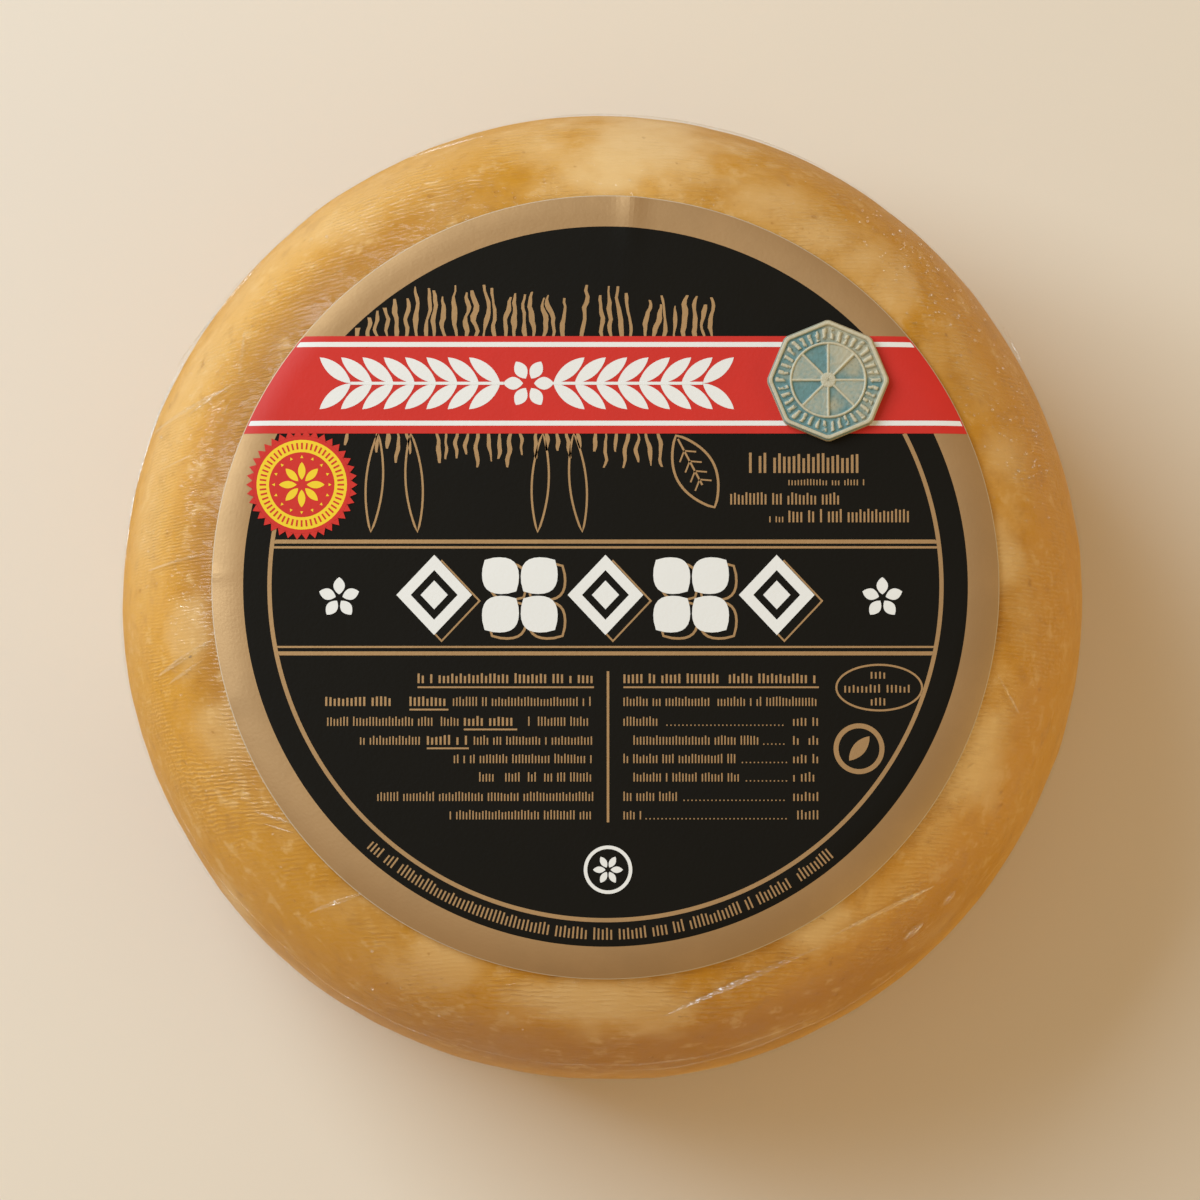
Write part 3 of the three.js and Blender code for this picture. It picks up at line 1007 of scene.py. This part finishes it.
# The same ticks bent round the lower edge.
CURVE_RADIUS = 71.4
CURVE_FROM, CURVE_SPAN = math.radians(-132), math.radians(82)
curved = Ink()
tick = flat_shape(oblong(0, 0, 0.36, 2.5))
put_row(curved, tick, 0, 0, CURVE_RADIUS * CURVE_SPAN, 0.86, Least=0.68, Gaps=0.13)
first = len(strokes.corners)
for x, y in curved.corners:
    angle = CURVE_FROM + x / CURVE_RADIUS
    strokes.corners.append(((CURVE_RADIUS - y) * math.cos(angle), (CURVE_RADIUS - y) * math.sin(angle)))
strokes.faces += [tuple(first + i for i in face) for face in curved.faces]

# An oval outline with ticks in it, and a ring round a leaf.
angles = [i * math.pi / 32 for i in range(64)]
oval = [(54.9 + 8.6 * math.cos(angle), -20.8 + 4.6 * math.sin(angle)) for angle in angles]
strokes.line(oval, 0.4, closed=True)
tick = flat_shape(oblong(0, 0, 0.34, 1.7))
for left, right, above in [(53.2, 56.6, -19.0), (47.9, 61.6, -21.8), (53.2, 56.6, -24.4)]:
    put_row(strokes, tick, left, above, right, 0.85, Least=0.66, Gaps=0.1)
strokes.ring(4.6, 1.0, x=50.8, y=-33.1)
strokes.shape(leaf(6.4, 2.6, 40, 48.8, -35.5))
strokes.lay("gold_strokes", gold_ink, 1)


# ---- Label print: garland, ornaments and seal ----
# A white garland on the red band, five bold white ornaments with gold outlines behind them, two white
# flowers, a small flower in a ring, and a toothed red and yellow seal. All are thin layers of ink.


def ring_of_items():
    """Copies of one flat shape on a ring, each turned to point away from the middle."""
    tree = Growth("ring_of_items", Count=3, Radius=0.0, Turn=0.0)
    ring = tree.node("GeometryNodeMeshCircle", None, {"Vertices": tree["Count"], "Radius": 1.0})
    x, y, _ = tree.split(tree.position())
    bearing = y.math("ARCTAN2", x) + tree["Turn"]
    place = tree.join(bearing.math("COSINE") * tree["Radius"], bearing.math("SINE") * tree["Radius"], 0.0)
    spin = tree.join(0.0, 0.0, bearing - math.pi / 2)
    # The spin is worked out before the points move, so it is kept on them.
    kept = {"Geometry": ring, "Name": "spin", "Value": spin}
    marked = tree.node("GeometryNodeStoreNamedAttribute", {"data_type": "FLOAT_VECTOR"}, kept)
    spots = tree.moved(marked, Position=place)
    named = tree.node("GeometryNodeInputNamedAttribute", {"data_type": "FLOAT_VECTOR"}, {"Name": "spin"})
    turned = tree.node("FunctionNodeEulerToRotation", None, {0: named})
    sockets = {"Points": spots, "Instance": tree["Geometry"], "Rotation": turned}
    tree.close(tree.node("GeometryNodeInstanceOnPoints", None, sockets))
    return tree


rings = ring_of_items()


def put_ring(ink, outline, count, radius, x, y, turn=0.0):
    """A ring of copies of an outline round x, y."""
    item = flat_shape(outline)
    ink.add(rings.grow(None, item, Count=count, Radius=radius * MM, Turn=math.radians(turn)), x, y)


white = Ink()
outlines = Ink()

# The garland: pairs of leaves along a stem, pointing away from a flower in the middle.
GARLAND_X, GARLAND_Y = -15.5, 40.8
pair = flat_shape(leaf(8.2, 2.7, 50), leaf(8.2, 2.7, 130))
back_pair = flat_shape(leaf(8.2, 2.7, -50), leaf(8.2, 2.7, -130))
put_row(white, pair, -10.5, GARLAND_Y, 22.5, 4.3)
put_row(white, back_pair, -51.3, GARLAND_Y, -18.0, 4.3)
stems = Ink()
stems.line([(-10.5, GARLAND_Y), (19.6, GARLAND_Y)], 0.6)
stems.line([(-51.3, GARLAND_Y), (-20.5, GARLAND_Y)], 0.6)
put_ring(white, leaf(4.0, 2.6), 6, 1.1, GARLAND_X, GARLAND_Y)

# The ornaments: a diamond or a four-leaved flower, with an outline set a little lower right of each. Two
# small flowers stand beside them, and the emblem is below.
ORNAMENTS_X = [-34.4, -17.2, 0, 17.2, 34.4]
ORNAMENTS_Y = -2.1
OUTLINE_RIGHT, OUTLINE_DOWN = 1.5, 1.2
EMBLEM_X, EMBLEM_Y = 0.5, -57.4
DIAMOND = [(0, -8.1), (7.6, 0), (0, 8.1), (-7.6, 0)]
diamond_edges = [[(x * size, y * size) for x, y in DIAMOND] for size in (1, 0.62, 0.36)]
petal = leaf(9.0, 7.8)
for number, x in enumerate(ORNAMENTS_X):
    if number % 2 == 0:
        outer, inner, heart = [[(x + u, ORNAMENTS_Y + v) for u, v in edge] for edge in diamond_edges]
        white.strip(outer + outer[:1], inner + inner[:1])
        white.shape(heart)
        outlines.line([(u + OUTLINE_RIGHT, v - OUTLINE_DOWN) for u, v in outer], 0.5, closed=True)
    else:
        put_ring(white, petal, 4, 1.0, x, ORNAMENTS_Y, 45)
        for turn in (45, 135, 225, 315):
            sin, cos = math.sin(math.radians(turn)), math.cos(math.radians(turn))
            root = (x + OUTLINE_RIGHT + sin, ORNAMENTS_Y - OUTLINE_DOWN + cos)
            outlines.line(leaf(9.0, 7.8, turn, *root), 0.5, closed=True)
for x in (-53.5, 55.6):
    put_ring(white, leaf(3.5, 2.3), 5, 0.7, x, -2.7, 90)
white.ring(4.5, 0.7, x=EMBLEM_X, y=EMBLEM_Y)
put_ring(white, leaf(2.5, 1.3), 6, 0.5, EMBLEM_X, EMBLEM_Y)

white.lay("white_print", white_ink, 3)
stems.lay("garland_stems", white_ink, 4)
outlines.lay("gold_outlines", gold_ink, 1)

# The seal: a toothed edge, a yellow ring with ticks, and a flower on the red middle.
SEAL_X, SEAL_Y = -61.1, 20.2
seal_red, seal_yellow, seal_dark = Ink(), Ink(), Ink()
seal_red.ring(9.5, 0.8, x=SEAL_X, y=SEAL_Y, step=2.0)
put_ring(seal_red, [(0.85, 0), (0, 1.3), (-0.85, 0)], 38, 9.9, SEAL_X, SEAL_Y)
seal_red.ring(3.3, 6.6, x=SEAL_X, y=SEAL_Y, rows=4, step=2.0)
seal_yellow.ring(7.85, 2.5, x=SEAL_X, y=SEAL_Y, rows=2, step=2.0)
put_ring(seal_dark, [(0.17, 0), (0.17, 1.3), (-0.17, 1.3), (-0.17, 0)], 52, 7.2, SEAL_X, SEAL_Y)
seal_flower = Ink()
put_ring(seal_flower, leaf(3.6, 1.5), 8, 1.0, SEAL_X, SEAL_Y)
put_ring(seal_flower, [(0.3, 0), (0, 0.6), (-0.3, 0)], 16, 5.4, SEAL_X, SEAL_Y)

yellow_ink = make_paper("label_yellow", (0.92, 0.66, 0.02, 1), 0.5, mottle=0.2)
seal_red.lay("seal_red", red_ink, 4)
seal_yellow.lay("seal_yellow", yellow_ink, 4)
seal_dark.lay("seal_ticks", red_ink, 5)
seal_flower.lay("seal_flower", yellow_ink, 5)


# ---- Casein plaque ----
# A small eight-sided plate pressed from milk casein and set on the label, with worn relief: a raised border,
# a ring of short bars, a thin ring and eight spokes. Its hollows are stained blue-green.

low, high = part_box("casein_plaque")
PLAQUE_X, PLAQUE_Y = (low.x + high.x) / 2, (low.y + high.y) / 2
PLAQUE_APOTHEM = (high.y - low.y) / 2 * math.cos(math.pi / 8)
PLAQUE_TOP = high.z
PLAQUE_BASE = on_label((PLAQUE_X - LABEL_X) / MM, (PLAQUE_Y - LABEL_Y) / MM).z
RELIEF = 0.6 * MM
RELIEF_RING = 7.5 * MM
RELIEF_BARS = 38.0

# Shares of the plate's rows, up to which they make its back and then its side.
BACK_TO, SIDE_TO = 0.04, 0.12

# How far out the cut corners reach, as a multiple of the distance to the flats.
CORNER_REACH = 1.068

CASEIN_TEAL = (0.13, 0.27, 0.28, 1)
CASEIN_OLIVE = (0.42, 0.40, 0.28, 1)
CASEIN_DARK = (0.10, 0.16, 0.15, 1)
CASEIN_BUFF = (0.62, 0.56, 0.40, 1)
CASEIN_SIDE = (0.50, 0.40, 0.24, 1)


def plaque_press():
    """An eight-sided plate in rings of corners: across its back, up its side, and in over its relief."""
    tree = Growth("plaque_press", Columns=3, Rows=3, Apothem=0.0, Base=0.0, Top=0.0, Relief=0.0)
    grid, _, across, bearing, row = grid_to_turn(tree)
    eighth = math.pi / 4
    edge = tree["Apothem"] / ((bearing / eighth).math("FRACT") * eighth - eighth / 2).math("COSINE")
    edge = edge.math("MINIMUM", tree["Apothem"] * CORNER_REACH)
    share = (row / BACK_TO).clamp() * (1 - ((row - SIDE_TO) / (1 - SIDE_TO)).clamp())
    rise = ((row - BACK_TO) / (SIDE_TO - BACK_TO)).clamp()
    out = share * edge
    # The relief, each part from 0 to 1.
    border = share.ramp(0.9, 0.925) * share.ramp(0.995, 0.97)
    wear = tree.noise(tree.join(across * 60.0, share * 8.0, 0.0), 1.0, 2.0)
    bars = (bearing * RELIEF_BARS + wear * 3.0).math("SINE").ramp(-0.1, 0.5)
    bars = bars * share.ramp(0.68, 0.7) * share.ramp(0.88, 0.86) * wear.ramp(0.3, 0.45)
    ring = 1 - ((out - RELIEF_RING).math("ABSOLUTE") / (0.32 * MM)).clamp() ** 3.0
    fold = ((bearing / eighth + 0.5).math("FRACT") - 0.5) * eighth
    spoke = 1 - ((fold.math("SINE") * out).math("ABSOLUTE") / (0.34 * MM)).clamp() ** 3.0
    spoke = spoke * out.ramp(7.6 * MM, 7.3 * MM)
    wedge = (bearing / (2 * eighth)).math("FRACT").ramp(0.495, 0.505) * out.ramp(7.3 * MM, 7.1 * MM) * 0.45
    hub = out.ramp(1.7 * MM, 1.4 * MM) * 0.9
    tall = border.math("MAXIMUM", bars * 0.85).math("MAXIMUM", ring).math("MAXIMUM", spoke * 0.85)
    tall = tall.math("MAXIMUM", wedge).math("MAXIMUM", hub) * (wear * 0.3 + 0.75).clamp()
    face = tree["Top"] - tree["Relief"]
    soft = share.ramp(1.0, 0.97) * rise
    height = tree["Base"] + rise * (face - tree["Base"] - 0.25 * MM) + soft * (0.25 * MM)
    height = height + tall * soft * tree["Relief"]
    place = tree.join(out * bearing.math("COSINE") + PLAQUE_X, out * bearing.math("SINE") + PLAQUE_Y, height)
    plate = tree.moved(grid, Position=place)
    plate = tree.node("GeometryNodeMergeByDistance", None, {"Geometry": plate, "Distance": 0.004 * MM})
    tree.close(tree.smooth(plate))
    return tree


def make_casein():
    finish = Finish("casein")
    face = PLAQUE_TOP - RELIEF
    blotch = finish.noise(finish.place, 110.0, 3.0, 0.6)
    grain = finish.noise(finish.place, 1400.0, 3.0)
    raised = (finish.z + (grain - 0.5) * (0.25 * MM)).ramp(face + 0.05 * MM, face + 0.45 * MM)
    lean = (finish.x - PLAQUE_X + (finish.y - PLAQUE_Y)) / (24 * MM)
    bare = (blotch + lean * 0.35).ramp(0.42, 0.66)
    stain = finish.mix(bare, CASEIN_TEAL, CASEIN_OLIVE)
    stain = finish.mix(grain.ramp(0.45, 0.75) * 0.5, stain, CASEIN_DARK)
    colour = finish.mix(raised * 0.85, stain, CASEIN_BUFF)
    side = finish.z.ramp(face, face - 0.4 * MM)
    colour = finish.mix(side, colour, CASEIN_SIDE)
    sockets = {
        "Base Color": colour,
        "Roughness": blotch * 0.2 + 0.4,
        "Normal": finish.bump(grain, 0.12 * MM),
    }
    return finish.shade(sockets)


plate = plaque_press().grow(
    make_casein(),
    Columns=289,
    Rows=120,
    Apothem=PLAQUE_APOTHEM,
    Base=PLAQUE_BASE,
    Top=PLAQUE_TOP,
    Relief=RELIEF,
)
add_piece("plaque", plate, "casein", "casein_plaque")
